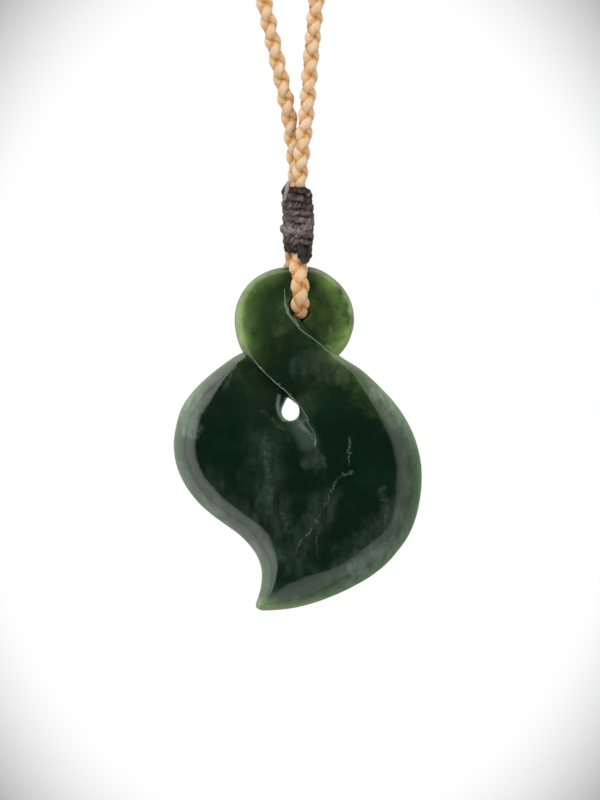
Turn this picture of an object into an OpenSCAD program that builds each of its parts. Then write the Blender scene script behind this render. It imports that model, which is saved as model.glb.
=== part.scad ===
// Carved greenstone twist pendant on a plaited neck cord.
// Millimetres. +Z is up, the carved front faces -Y, +X is to the viewer's right.
// The origin is the inside of the cord's loop at the nape, where the necklace hangs.

/* [Stone] */
// Width of the whole stone
stone_w = 37.2; // [30:0.1:45]
// Height of the whole stone
stone_h = 51.6; // [42:0.1:62]
// Thickness of the stone where its two bands cross
stone_t = 8.0; // [7:0.1:9]
// Radius of the small hole's waist
hole_r = 1.4; // [1:0.05:1.6]
// Radius of the small hole's worn mouths
hole_mouth_r = 2.0; // [1.6:0.05:2.4]

/* [Neck cord] */
// Diameter of the plaited cord
cord_d = 2.2; // [1.8:0.1:2.4]
// Number of sides of the cord's plain tube
cord_sides = 8; // [8:1:12]

/* [Binding] */
// Diameter of the wound thread
thread_d = 0.98; // [0.8:0.01:1]
// Rise of the winding for each turn
thread_pitch = 1.06; // [1.04:0.01:1.2]
// Number of turns in the binding
thread_turns = 8.5; // [6:0.5:9]
// Half width of the winding at its two ends, at the thread's middle
wind_end = 1.68; // [1.66:0.01:1.8]
// Half width of the winding halfway up, at the thread's middle
wind_mid = 1.97; // [1.8:0.01:2.2]

/* [Nape join] */
// Outer diameter of the sleeve that joins the cord's ends
join_d = 4.2; // [3.6:0.1:5]
// Bore of the sleeve
join_bore = 2.7; // [2.5:0.1:3]
// Angle of the neck loop that the sleeve covers
join_angle = 20; // [12:1:30]

/* [Hidden] */

// Height of the middle of the stone's top bar, below the nape
bar_z = -335;

// Columns of the stone's stations, which are seen from the front.
// LX, LZ, RX, RZ: the rim points at the left and right ends of a station, from the bar's middle.
// LF, RF: how far the middle of the thickness lies towards the band's own face at each end.
// LH, RH: half the thickness at each end. LB, RB: width of the bevel at each end.
// FB: the same, right end, far face. UNDER: how far the right end's rim reaches out under its own
// face's edge. LEAN: how far the left end reaches further out on the far face.
LX = 0; LZ = 1; RX = 2; RZ = 3; LF = 4; RF = 5; LH = 6; RH = 7; LB = 8; RB = 9; FB = 10; UNDER = 11; LEAN = 12;

// The front band: from the top of the head, down its left side, across in front, to the right
// shoulder. The first and last rows of each table only steer the curve.
front_rows = [
    //  LX      LZ      RX      RZ     LF    RF    LH    RH    LB    RB    FB   UNDER LEAN
    [  2.55,   2.50,   1.30,  -2.35, -0.15, -0.15, 2.20, 2.20, 2.60, 2.00, 2.00, 0.00, 0.0],
    [ -0.45,   2.70,   0.20,  -2.40,  0.00,  0.00, 2.20, 2.20, 2.40, 2.20, 2.20, 0.00, 0.0],
    [ -3.45,   2.35,  -0.80,  -2.38,  0.15,  0.15, 2.20, 2.20, 2.60, 2.00, 2.00, 0.00, 0.0],
    [ -6.15,   1.12,  -1.55,  -2.60,  0.30,  0.35, 2.25, 2.25, 3.00, 1.50, 1.70, 0.45, 0.0],
    [ -8.10,  -0.82,  -1.90,  -3.00,  0.40,  0.60, 2.30, 2.30, 3.40, 1.20, 1.60, 0.85, 0.0],
    [ -9.30,  -3.45,  -1.85,  -3.70,  0.50,  0.90, 2.35, 2.35, 3.80, 0.90, 1.40, 0.80, 0.0],
    [ -9.45,  -6.45,  -1.43,  -4.65,  0.60,  1.20, 2.40, 2.40, 3.90, 0.80, 3.00, 0.50, 0.0],
    [ -8.47,  -9.75,  -0.45,  -5.92,  0.90,  1.40, 2.40, 2.40, 2.60, 0.70, 4.40, 0.90, 0.0],
    [ -6.54, -12.00,   1.20,  -7.20,  1.30,  1.60, 2.40, 2.40, 1.20, 0.70, 4.60, 0.50, 0.0],
    [ -4.20, -14.32,   3.75,  -9.00,  1.50,  1.50, 2.40, 2.40, 0.80, 0.80, 3.40, 0.20, 0.0],
    [ -2.10, -16.12,   6.60, -10.95,  1.50,  1.00, 2.40, 2.50, 0.70, 1.80, 1.80, 0.00, 0.0],
    [ -0.45, -17.85,   9.45, -12.75,  1.15,  0.45, 2.50, 2.75, 0.70, 2.90, 2.90, 0.00, 0.5],
    [  0.90, -19.50,  12.00, -15.07,  0.70,  0.10, 2.78, 3.02, 0.60, 3.60, 3.60, 0.00, 3.5],
    [  1.88, -21.00,  14.40, -17.62,  0.27,  0.00, 3.02, 3.13, 0.50, 4.00, 4.00, 0.00, 6.5],
    [  2.40, -22.20,  16.25, -20.30,  0.05,  0.00, 3.13, 3.15, 0.30, 4.05, 4.05, 0.00, 8.0],
    [  2.70, -23.25,  17.60, -23.25,  0.00,  0.00, 3.15, 3.15, 0.02, 4.10, 4.10, 0.00, 8.4],
    [  2.70, -25.50,  18.40, -26.55,  0.00,  0.00, 3.15, 3.15, 0.02, 4.30, 4.30, 0.00, 8.4],
];

// The back band, seen from behind: the same way round, to the other shoulder.
back_rows = [
    //  LX      LZ      RX      RZ     LF    RF    LH    RH    LB    RB    FB   UNDER LEAN
    [  3.45,   2.35,   0.80,  -2.38, -0.15, -0.15, 2.20, 2.20, 2.60, 2.00, 2.00, 0.00, 0.0],
    [  0.45,   2.70,  -0.20,  -2.40,  0.00,  0.00, 2.20, 2.20, 2.40, 2.20, 2.20, 0.00, 0.0],
    [ -2.55,   2.50,  -1.30,  -2.35,  0.15,  0.15, 2.20, 2.20, 2.60, 2.00, 2.00, 0.00, 0.0],
    [ -5.25,   0.97,  -2.05,  -2.55,  0.30,  0.35, 2.25, 2.25, 3.00, 1.50, 1.70, 0.40, 0.0],
    [ -7.05,  -0.90,  -2.45,  -3.00,  0.40,  0.60, 2.30, 2.30, 3.40, 1.20, 1.60, 0.75, 0.0],
    [ -8.17,  -3.30,  -2.40,  -3.70,  0.50,  0.90, 2.35, 2.35, 3.80, 0.90, 1.40, 0.70, 0.0],
    [ -8.37,  -6.00,  -1.88,  -4.80,  0.60,  1.20, 2.40, 2.40, 3.90, 0.80, 3.20, 0.35, 0.0],
    [ -7.57,  -8.70,  -0.90,  -6.00,  0.90,  1.40, 2.40, 2.40, 2.60, 0.70, 5.00, 0.90, 0.0],
    [ -6.45, -10.28,   0.75,  -7.05,  1.20,  1.60, 2.40, 2.40, 1.40, 0.70, 5.50, 0.60, 0.0],
    [ -4.74, -12.00,   3.00,  -8.25,  1.40,  1.60, 2.40, 2.40, 0.80, 0.80, 4.00, 0.30, 0.0],
    [ -2.70, -13.95,   5.70,  -9.45,  1.50,  1.40, 2.40, 2.40, 0.70, 1.20, 2.40, 0.10, 0.0],
    [ -0.75, -15.75,   8.70, -10.35,  1.45,  0.95, 2.45, 2.45, 0.70, 1.90, 1.90, 0.00, 0.0],
    [  1.05, -17.40,  11.55, -12.22,  1.10,  0.40, 2.55, 2.78, 0.70, 2.60, 2.60, 0.00, 0.5],
    [  2.55, -19.20,  14.10, -14.32,  0.70,  0.08, 2.78, 3.03, 0.60, 3.20, 3.20, 0.00, 3.5],
    [  3.60, -21.00,  16.20, -16.57,  0.27,  0.00, 3.02, 3.13, 0.50, 3.50, 3.50, 0.00, 6.5],
    [  4.20, -22.20,  17.70, -19.12,  0.05,  0.00, 3.13, 3.15, 0.30, 3.55, 3.55, 0.00, 8.0],
    [  4.50, -23.25,  18.60, -23.25,  0.00,  0.00, 3.15, 3.15, 0.02, 3.55, 3.55, 0.00, 8.4],
    [  4.50, -25.50,  18.30, -26.70,  0.00,  0.00, 3.15, 3.15, 0.02, 3.60, 3.60, 0.00, 8.4],
];

// The blade: from the shoulders, where both bands end, down to the curled tip.
blade_rows = [
    //  LX      LZ      RX      RZ     LF    RF    LH    RH    LB    RB    FB   UNDER LEAN
    [-17.70, -19.12,  16.25, -20.30,  0.00,  0.00, 3.15, 3.15, 3.55, 4.05, 4.05, 0.00, 0.0],
    [-18.60, -23.25,  17.60, -23.25,  0.00,  0.00, 3.15, 3.15, 3.55, 4.10, 4.10, 0.00, 0.0],
    [-18.30, -26.70,  18.40, -26.55,  0.00,  0.00, 3.15, 3.15, 3.60, 4.30, 4.30, 0.00, 0.0],
    [-17.10, -29.70,  18.52, -29.77,  0.00,  0.00, 3.15, 3.15, 4.10, 4.40, 4.40, 0.00, 0.0],
    [-15.22, -32.32,  18.15, -32.85,  0.00,  0.00, 3.15, 3.15, 4.90, 4.20, 4.20, 0.00, 0.0],
    [-13.05, -34.35,  17.47, -35.48,  0.00,  0.00, 3.15, 3.15, 5.60, 3.90, 3.90, 0.00, 0.0],
    [-10.80, -36.00,  16.43, -37.80,  0.00,  0.00, 3.15, 3.15, 5.80, 4.40, 4.40, 0.00, 0.0],
    [ -8.85, -37.42,  15.00, -39.82,  0.00,  0.00, 3.12, 3.12, 5.20, 5.40, 5.40, 0.00, 0.0],
    [ -7.35, -38.92,  13.20, -41.85,  0.00,  0.00, 3.10, 3.10, 4.30, 6.00, 6.00, 0.00, 0.0],
    [ -6.22, -40.50,  10.95, -43.65,  0.00,  0.00, 3.05, 3.05, 3.40, 6.70, 6.70, 0.00, 0.0],
    [ -5.55, -42.30,   8.40, -45.15,  0.00,  0.00, 3.00, 3.00, 2.60, 7.80, 7.80, 0.00, 0.0],
    [ -5.43, -43.88,   5.55, -46.50,  0.00,  0.00, 2.85, 2.85, 2.10, 7.60, 7.60, 0.00, 0.0],
    [ -5.62, -45.45,   2.55, -47.62,  0.00,  0.00, 2.55, 2.55, 1.70, 6.00, 6.00, 0.00, 0.0],
    [ -6.00, -46.80,  -0.60, -48.42,  0.00,  0.00, 2.05, 2.05, 1.30, 4.00, 4.00, 0.00, 0.0],
    [ -6.33, -47.77,  -3.45, -48.75,  0.00,  0.00, 1.45, 1.45, 0.80, 2.00, 2.00, 0.00, 0.0],
    [ -6.30, -48.38,  -5.40, -48.82,  0.00,  0.00, 0.70, 0.70, 0.35, 0.50, 0.50, 0.00, 0.0],
    [ -6.15, -48.60,  -5.85, -48.82,  0.00,  0.00, 0.20, 0.20, 0.10, 0.10, 0.10, 0.00, 0.0],
];

// Sections cut from one station to the next, and points laid across each flat face
station_steps = 3;
face_steps = 4;
// Steps along a bevel, its slope at the rim and at the face, and the rim's share of the thickness
bevel_steps = 4;
rim_slope = 66;
face_slope = 14;
rim_share = 0.07;

// The small hole's middle, from the bar's middle, how deep its waist is and how far each mouth is
// worn to one side
hole_x = -1.05;
hole_z = -18.95;
waist_depth = 1.3;
mouth_shift = 0.5;

// The cord's route on each side: places of its middle, and its radius there as a share of the
// plain radius, because the binding squeezes it. Both run from the nape to the bottom of the bight.
left_route = [
    [ -0.3,   0.0,    2.1, 1.0],
    [ -4.2,   0.0,    1.9, 1.0],
    [ -8.3,   0.0,    1.4, 1.0],
    [-16.4,   0.0,   -0.8, 1.0],
    [-24.0,   0.0,   -4.3, 1.0],
    [-30.9,   0.0,   -9.1, 1.0],
    [-36.8,   0.0,  -15.0, 1.0],
    [-41.6,   0.0,  -21.9, 1.0],
    [-45.1,   0.0,  -29.5, 1.0],
    [-47.2,   0.0,  -38.0, 1.0],
    [-47.9,   0.0,  -47.0, 1.0],
    [-47.0,   0.0,  -60.0, 1.0],
    [-43.9,   0.0,  -80.0, 1.0],
    [-36.3,   0.0, -125.0, 1.0],
    [-26.6,   0.0, -180.0, 1.0],
    [-15.5,   0.0, -240.0, 1.0],
    [ -8.6,   0.0, -275.0, 1.0],
    [ -5.0,   0.1, -293.0, 1.0],
    [ -3.1,   0.3, -301.5, 1.0],
    [ -1.3,   0.9, -310.0, 1.0],
    [ -0.6,   1.1, -315.0, 1.0],
    [ -0.3,   1.1, -319.0, 0.95],
    [ -0.2,   1.0, -321.5, 0.86],
    [ -0.2,   1.0, -326.0, 0.86],
    [ -0.2,   1.1, -329.2, 0.88],
    [ -0.3,   2.2, -331.9, 1.0],
    [ -0.1,   3.2, -333.7, 1.0],
    [  0.2,   3.5, -335.3, 1.0],
    [  0.3,   3.1, -337.2, 1.0],
    [  0.3,   1.8, -338.7, 1.0],
    [  0.3,   0.05, -339.1, 1.0],
];
right_route = [
    [  0.3,   0.0,    2.1, 1.0],
    [  4.2,   0.0,    1.9, 1.0],
    [  8.3,   0.0,    1.4, 1.0],
    [ 16.4,   0.0,   -0.8, 1.0],
    [ 24.0,   0.0,   -4.3, 1.0],
    [ 30.9,   0.0,   -9.1, 1.0],
    [ 36.8,   0.0,  -15.0, 1.0],
    [ 41.6,   0.0,  -21.9, 1.0],
    [ 45.1,   0.0,  -29.5, 1.0],
    [ 47.1,   0.0,  -38.0, 1.0],
    [ 47.4,   0.0,  -47.0, 1.0],
    [ 45.8,   0.0,  -60.0, 1.0],
    [ 41.6,   0.0,  -80.0, 1.0],
    [ 31.2,   0.0, -125.0, 1.0],
    [ 19.6,   0.0, -180.0, 1.0],
    [  9.3,   0.0, -240.0, 1.0],
    [  4.6,   0.0, -275.0, 1.0],
    [  2.7,  -0.1, -293.0, 1.0],
    [  1.9,  -0.3, -301.5, 1.0],
    [  1.2,  -0.9, -310.0, 1.0],
    [  0.6,  -1.1, -315.0, 1.0],
    [  0.3,  -1.1, -319.0, 0.95],
    [  0.2,  -1.0, -321.5, 0.86],
    [  0.2,  -1.0, -326.0, 0.86],
    [  0.1,  -1.1, -329.2, 0.88],
    [  0.0,  -2.2, -331.9, 1.0],
    [  0.2,  -3.2, -333.7, 1.0],
    [  0.3,  -3.5, -335.3, 1.0],
    [  0.3,  -3.1, -337.2, 1.0],
    [  0.3,  -1.8, -338.7, 1.0],
    [  0.3,  -0.05, -339.1, 1.0],
];

// The binding's first turn, the depth of its two straight flanks, and the points in one turn
wind_top = -320.9;
wind_flank = 1.0;
wind_points = 20;
wind_sides = 6;

// The knot's middle and its half sizes
knot_at = [1.0, -3.8, -330.95];
knot_half = [1.1, 0.75, 1.05];

// Radius of the neck loop's arc at the nape
nape_r = 48;

// A smooth curve through rows of numbers, whose first and last rows only steer it
function curve_row(a, b, c, d, t) =
    0.5 * (2 * b + (c - a) * t + (2 * a - 5 * b + 4 * c - d) * t * t + (3 * b - a - 3 * c + d) * t * t * t);
function curve_rows(rows, steps) = [
    for (i = [1 : len(rows) - 3], k = [0 : steps - 1])
        curve_row(rows[i - 1], rows[i], rows[i + 1], rows[i + 2], k / steps),
    rows[len(rows) - 2],
];

// How far in from the rim, and how high, the bevel is at step k
function bevel_slope(k) = rim_slope + (face_slope - rim_slope) * k / bevel_steps;
function bevel_run(k) = (sin(rim_slope) - sin(bevel_slope(k))) / (sin(rim_slope) - sin(face_slope));
function bevel_rise(k) = rim_share + (1 - rim_share)
    * (cos(bevel_slope(k)) - cos(rim_slope)) / (cos(face_slope) - cos(rim_slope));

// The point of a station at a share across it, shifted along it by s, at v times its half
// thickness: v is 1 on the band's own face and -1 on the far face
function station_point(row, dir, share, s, v) =
    let (
        x = row[LX] + (row[RX] - row[LX]) * share + dir[0] * s,
        z = row[LZ] + (row[RZ] - row[LZ]) * share + dir[1] * s,
        middle = row[LF] + (row[RF] - row[LF]) * share,
        half = row[LH] + (row[RH] - row[LH]) * share
    )
    [x, -(middle + half * v), z];
function left_shift(row, k, side) =
    row[LB] * bevel_run(k) - row[LEAN] * (1 - side * bevel_rise(k)) / 2;
function right_shift(row, k, side) = side > 0
    ? row[UNDER] * (1 - bevel_rise(k)) - row[RB] * bevel_run(k)
    : row[UNDER] * (1 - rim_share) - row[FB] * bevel_run(k);

// One face of a station from left to right: bevel, flat, bevel
function station_face(row, dir, length, side) =
    let (
        from = left_shift(row, bevel_steps, side),
        to = length + right_shift(row, bevel_steps, side)
    )
    concat(
        [for (k = [0 : bevel_steps])
            let (s = left_shift(row, k, side))
            station_point(row, dir, max(0, s) / length, s - max(0, s), side * bevel_rise(k))],
        [for (j = [1 : face_steps - 1])
            let (s = from + (to - from) * j / face_steps)
            station_point(row, dir, max(0, s) / length, s - max(0, s), side)],
        [for (k = [bevel_steps : -1 : 0])
            let (s = right_shift(row, k, side))
            station_point(row, dir, 1, s, side * bevel_rise(k))]
    );
function reversed(list) = [for (i = [len(list) - 1 : -1 : 0]) list[i]];
function station(row) =
    let (
        across = [row[RX] - row[LX], row[RZ] - row[LZ]],
        length = norm(across),
        dir = across / length
    )
    concat(station_face(row, dir, length, 1), reversed(station_face(row, dir, length, -1)));

// A solid lofted through closed outlines that have the same number of points
module loft(rings) {
    n = len(rings[0]);
    last = (len(rings) - 1) * n;
    polyhedron(
        points = [for (ring = rings, p = ring) p],
        faces = concat(
            [[for (j = [n - 1 : -1 : 0]) j]],
            [for (i = [0 : len(rings) - 2], j = [0 : n - 1], half = [0, 1])
                let (a = i * n + j, b = i * n + (j + 1) % n)
                half == 0 ? [a, b, b + n] : [a, b + n, a + n]],
            [[for (j = [0 : n - 1]) last + j]]
        ),
        convexity = 6
    );
}

module stone_band(rows) {
    loft([for (row = curve_rows(rows, station_steps)) station(row)]);
}

// The small hole: a straight waist and a worn mouth on each face, the front one to the left
module small_hole() {
    translate([hole_x, 0, hole_z]) rotate([90, 0, 0]) {
        cylinder(h = 2 * stone_t, r = hole_r, center = true, $fn = 28);
        for (side = [-1, 1])
            hull() {
                translate([0, 0, side * waist_depth]) cylinder(h = 0.01, r = hole_r, center = true, $fn = 28);
                translate([-side * mouth_shift, 0, side * stone_t / 2])
                    cylinder(h = 0.01, r = hole_mouth_r, center = true, $fn = 28);
            }
    }
}

module greenstone() {
    color("#1d3a24") translate([0, 0, bar_z]) {
        resize([stone_w, stone_t, stone_h]) difference() {
            union() {
                stone_band(front_rows);
                rotate([0, 0, 180]) stone_band(back_rows);
                stone_band(blade_rows);
            }
            small_hole();
        }
    }
}

// Rings along a route: each is square to it, and a side hint settles which way its points start
function unit(v) = v / norm(v);
function heading(points, i) = unit(points[min(i + 1, len(points) - 1)] - points[max(i - 1, 0)]);
function ring_at(centre, along, radius, sides, side_hint) =
    let (u = unit(cross(along, side_hint)), w = cross(along, u))
    [for (j = [0 : sides - 1]) let (a = -360 * (j + 0.5) / sides) centre + radius * (cos(a) * u + sin(a) * w)];
function place(row) = [row[0], row[1], row[2]];

module cord_tube(route) {
    points = [for (row = route) place(row)];
    loft([for (i = [0 : len(route) - 1])
        ring_at(points[i], heading(points, i), route[i][3] * cord_d / 2, cord_sides, [1, 0, 0.01])]);
}

module neck_cord_left() {
    color("#d9a866") cord_tube(left_route);
}

module neck_cord_right() {
    color("#d9a866") cord_tube(right_route);
}

// A place on the winding's path: two straight flanks and two round ends, barrel shaped
function wind_place(turn) =
    let (
        a = 360 * turn,
        swell = sin(180 * turn / thread_turns),
        half = wind_end + (wind_mid - wind_end) * swell,
        depth = sin(a) > 0.001 ? wind_flank : sin(a) < -0.001 ? -wind_flank : 0
    )
    [-half * cos(a), -half * sin(a) - depth, wind_top - thread_pitch * turn];

module binding() {
    path = [for (i = [0 : thread_turns * wind_points]) wind_place(i / wind_points)];
    color("#3d2c2a") loft([for (i = [0 : len(path) - 1])
        ring_at(path[i], heading(path, i), thread_d / 2, wind_sides, [0, 0, 1])]);
}

module binding_knot() {
    color("#2b2226") translate(knot_at) scale(knot_half) sphere(r = 1, $fn = 16);
}

// The sleeve follows the loop's arc at the nape, so its inside rests at the origin
module nape_join() {
    color("#3d2c2a") translate([0, 0, join_d / 2 - nape_r]) rotate([90, 0, 0])
        rotate([0, 0, 90 - join_angle / 2])
            rotate_extrude(angle = join_angle, $fn = 96) translate([nape_r, 0]) difference() {
                circle(d = join_d, $fn = 32);
                circle(d = join_bore, $fn = 32);
            }
}

greenstone();
neck_cord_left();
neck_cord_right();
binding();
binding_knot();
nape_join();
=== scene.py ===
"""A greenstone twist pendant hanging on its plaited cord. Metres, Z up; the camera looks along +Y."""
import math

import bmesh
import bpy
import numpy as np
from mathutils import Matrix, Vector
from mathutils.bvhtree import BVHTree
from mathutils.kdtree import KDTree


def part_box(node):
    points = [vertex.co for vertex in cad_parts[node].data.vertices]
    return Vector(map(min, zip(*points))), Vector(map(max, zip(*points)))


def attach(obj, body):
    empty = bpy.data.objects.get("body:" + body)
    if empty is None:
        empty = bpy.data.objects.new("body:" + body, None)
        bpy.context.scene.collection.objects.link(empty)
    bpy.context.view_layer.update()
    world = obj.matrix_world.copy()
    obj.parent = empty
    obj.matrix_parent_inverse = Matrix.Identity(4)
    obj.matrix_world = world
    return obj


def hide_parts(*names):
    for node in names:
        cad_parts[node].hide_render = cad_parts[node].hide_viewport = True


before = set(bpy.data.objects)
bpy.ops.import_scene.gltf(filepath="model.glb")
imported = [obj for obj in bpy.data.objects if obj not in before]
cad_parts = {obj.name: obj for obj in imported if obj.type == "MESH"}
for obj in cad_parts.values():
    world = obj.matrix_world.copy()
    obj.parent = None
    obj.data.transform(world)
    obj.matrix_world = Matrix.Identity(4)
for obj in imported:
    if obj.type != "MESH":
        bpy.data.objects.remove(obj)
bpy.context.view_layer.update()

# The studio: a pale floor far below that sweeps up into a white wall, which darkens to grey outside
# an oval round the view. A light tent stands round it, open towards the camera, with three soft boxes.
SWEEP_Z, SWEEP_WALL_Y, SWEEP_SIDE, SWEEP_TOP, SWEEP_CURVE = -0.80, 3.0, 6.0, 4.0, 0.5
VIEW_CENTRE, VIEW_HEIGHT, VIEW_ASPECT, VIEW_DISTANCE, SENSOR = (0.0003, -0.3523), 0.120, 0.75, 0.50, 36.0
CORNERS_FROM, CORNERS_TO, CORNERS_CURVE, CORNERS_DARK = 1.08, 1.42, 1.5, -0.52
BEYOND_FROM, BEYOND_TO, BEYOND = 1.5, 2.8, 1.3
FLOOR_NEAR, FLOOR_FAR, FLOOR_END, WALL_START, WALL_FULL = 0.62, 0.76, 2.0, 1.4, 2.3
# How bright the tent is, from behind the camera (0) to behind the pendant (1).
TENT = [(0.0, 0.004), (0.060, 0.006), (0.076, 0.35), (0.10, 0.80), (0.16, 1.10), (0.31, 1.0), (0.355, 0.42),
        (0.39, 0.95), (0.55, 1.0), (0.75, 0.72), (0.93, 0.32), (1.0, 0.2)]
TENT_LEAN, LEAN_REACH, BRIGHT_SIDE, DIM_SIDE = (0.85, 0.0, -0.50), 0.9, 1.9, 0.60
# How bright it is for soft light, and where the camera sees it: the same all round.
EVEN_TENT = [("Is Diffuse Ray", 0.92), ("Is Camera Ray", 0.62)]
LAMPS_AIM = (0, 0, -0.35)


class Nodes:
    """A node tree that is being filled. Each short form adds one node and gives its output."""

    def __init__(self, tree):
        self.tree = tree

    def add(self, kind, values=None, **settings):
        """Adds a node and gives the node. `values` links or sets its inputs, by name or number."""
        node = self.tree.nodes.new(kind)
        for key, value in settings.items():
            setattr(node, key, value)
        for key, value in (values or {}).items():
            if isinstance(value, bpy.types.NodeSocket):
                self.tree.links.new(value, node.inputs[key])
            else:
                node.inputs[key].default_value = value
        return node

    def number(self, operation, *values, use_clamp=False):
        """Numbers worked on by one operation, by its node's own name."""
        values = dict(enumerate(values))
        return self.add("ShaderNodeMath", values, operation=operation, use_clamp=use_clamp).outputs[0]

    def vector(self, operation, *values):
        """Vectors worked on by one operation, by its node's own name."""
        made = self.add("ShaderNodeVectorMath", dict(enumerate(values)), operation=operation)
        return made.outputs["Value" if operation in ("LENGTH", "DOT_PRODUCT") else "Vector"]

    def ranged(self, value, low, high, at_low=0.0, at_high=1.0, curve="LINEAR"):
        """A value's range from low to high brought to another range, and held at its ends."""
        values = {0: value, 1: low, 2: high, 3: at_low, 4: at_high}
        return self.add("ShaderNodeMapRange", values, interpolation_type=curve).outputs[0]

    def noise(self, where, scale, detail, roughness=0.5):
        """A cloudy noise from 0 to 1."""
        values = {"Vector": where, "Scale": scale, "Detail": detail, "Roughness": roughness}
        return self.add("ShaderNodeTexNoise", values).outputs["Fac"]

    def mixed(self, share, colour, other):
        """A colour with a share of another one in it."""
        return self.add("ShaderNodeMix", {0: share, 6: colour, 7: other}, data_type="RGBA").outputs[2]

    def ramp(self, value, stops):
        """A colour that follows a value through stops, which are (position, colour)."""
        made = self.add("ShaderNodeValToRGB", {0: value})
        elements = made.color_ramp.elements
        for at, shade in stops[1:-1]:
            elements.new(at).color = (*shade, 1)
        for end, (at, shade) in ((elements[0], stops[0]), (elements[len(elements) - 1], stops[-1])):
            end.position, end.color = at, (*shade, 1)
        return made.outputs["Color"]

    def attribute(self, name):
        """A value that is stored on the mesh's points."""
        return self.add("ShaderNodeAttribute", attribute_name=name).outputs["Fac"]


def new_material(name):
    """A material, and its emptied node tree to be filled."""
    made = bpy.data.materials.new(name)
    made.use_nodes = True
    made.node_tree.nodes.clear()
    return made, Nodes(made.node_tree)


def new_object(name, points, faces, smooth=True):
    """A mesh object in the scene, from its points in metres."""
    mesh = bpy.data.meshes.new(name)
    mesh.from_pydata([tuple(p) for p in points], [], faces)
    grown = bmesh.new()
    grown.from_mesh(mesh)
    bmesh.ops.recalc_face_normals(grown, faces=grown.faces)
    grown.to_mesh(mesh)
    grown.free()
    if smooth:
        mesh.shade_smooth()
    made = bpy.data.objects.new(name, mesh)
    bpy.context.scene.collection.objects.link(made)
    return made


def sweep_profile():
    """Front edge of the floor, the round corner, and the top of the wall, as (y, z)."""
    turn = [math.radians(a) for a in range(-90, 1, 6)]
    corner_y, corner_z = SWEEP_WALL_Y - SWEEP_CURVE, SWEEP_Z + SWEEP_CURVE
    corner = [(corner_y + SWEEP_CURVE * math.cos(a), corner_z + SWEEP_CURVE * math.sin(a)) for a in turn]
    return [(-SWEEP_SIDE, SWEEP_Z), *corner, (SWEEP_WALL_Y, SWEEP_TOP)]


profile = sweep_profile()
sweep = new_object(
    "studio_sweep",
    [(x, y, z) for y, z in profile for x in (-SWEEP_SIDE, SWEEP_SIDE)],
    [(2 * i, 2 * i + 1, 2 * i + 3, 2 * i + 2) for i in range(len(profile) - 1)],
)
sweep_paint, nodes = new_material("studio_white")
place = nodes.add("ShaderNodeTexCoord").outputs["Object"]
depth_back = nodes.add("ShaderNodeSeparateXYZ", {0: place}).outputs["Y"]
wall_away, curve_y = SWEEP_WALL_Y + VIEW_DISTANCE, SWEEP_WALL_Y - SWEEP_CURVE
half_high = VIEW_HEIGHT / 2 * wall_away / VIEW_DISTANCE
from_middle = nodes.vector("SUBTRACT", place, (VIEW_CENTRE[0], SWEEP_WALL_Y, VIEW_CENTRE[1]))
oval = nodes.vector("MULTIPLY", from_middle, (1 / (half_high * VIEW_ASPECT), 0.0, 1 / half_high))
nearer = nodes.ranged(depth_back, curve_y, SWEEP_WALL_Y, wall_away / (curve_y + VIEW_DISTANCE), 1.0)
reach = nodes.number("MULTIPLY", nodes.vector("LENGTH", oval), nearer)
falloff = nodes.number("POWER", nodes.ranged(reach, CORNERS_FROM, CORNERS_TO), CORNERS_CURVE)
dimmed = nodes.number("MULTIPLY_ADD", falloff, CORNERS_DARK, 1.0)
beyond = nodes.ranged(reach, BEYOND_FROM, BEYOND_TO, 1.0, BEYOND, "SMOOTHSTEP")
wall_pale = nodes.number("MULTIPLY", dimmed, beyond)
floor_pale = nodes.ranged(depth_back, -SWEEP_SIDE, FLOOR_END, FLOOR_NEAR, FLOOR_FAR)
on_wall = nodes.ranged(depth_back, WALL_START, WALL_FULL, curve="SMOOTHSTEP")
pale = nodes.add("ShaderNodeMix", {0: on_wall, 2: floor_pale, 3: wall_pale}, data_type="FLOAT")
shining = nodes.add("ShaderNodeEmission", {"Color": (1, 1, 1, 1), "Strength": pale.outputs[0]})
nodes.add("ShaderNodeOutputMaterial", {"Surface": shining.outputs[0]})
sweep.data.materials.append(sweep_paint)
sweep.visible_glossy = False

world = bpy.data.worlds.new("light_tent")
bpy.context.scene.world = world
world.use_nodes = True
world.node_tree.nodes.clear()
nodes = Nodes(world.node_tree)
towards = nodes.add("ShaderNodeTexCoord").outputs["Generated"]
back = nodes.ranged(nodes.add("ShaderNodeSeparateXYZ", {0: towards}).outputs["Y"], -1.0, 1.0)
level = nodes.ramp(back, [(at, (bright, bright, bright)) for at, bright in TENT])
aside = nodes.vector("DOT_PRODUCT", towards, TENT_LEAN)
lean = nodes.ranged(aside, -LEAN_REACH, LEAN_REACH, BRIGHT_SIDE, DIM_SIDE)
lit_by = nodes.add("ShaderNodeBackground", {"Color": level, "Strength": lean})
rays = nodes.add("ShaderNodeLightPath").outputs
for kind_of_ray, bright in EVEN_TENT:
    even = nodes.add("ShaderNodeBackground", {"Color": (bright, bright, bright, 1)})
    both = {0: rays[kind_of_ray], 1: lit_by.outputs[0], 2: even.outputs[0]}
    lit_by = nodes.add("ShaderNodeMixShader", both)
nodes.add("ShaderNodeOutputWorld", {"Surface": lit_by.outputs[0]})


def soft_box(name, at, size, watts):
    """A wide lamp that faces the pendant and isn't itself seen."""
    lamp = bpy.data.lights.new(name, "AREA")
    lamp.shape, lamp.size, lamp.size_y, lamp.energy = "RECTANGLE", size[0], size[1], watts
    made = bpy.data.objects.new(name, lamp)
    made.location = at
    aim = Vector(LAMPS_AIM) - made.location
    made.rotation_euler = aim.to_track_quat("-Z", "Y").to_euler()
    made.visible_camera = made.visible_glossy = False
    bpy.context.scene.collection.objects.link(made)


soft_box("soft_box_left", (-0.75, -0.85, 0.15), (0.5, 0.8), 7)
soft_box("soft_box_right", (0.85, -0.80, -0.10), (0.4, 0.8), 4)
soft_box("soft_box_top", (0.0, -0.55, 0.75), (0.8, 0.4), 5)

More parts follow.
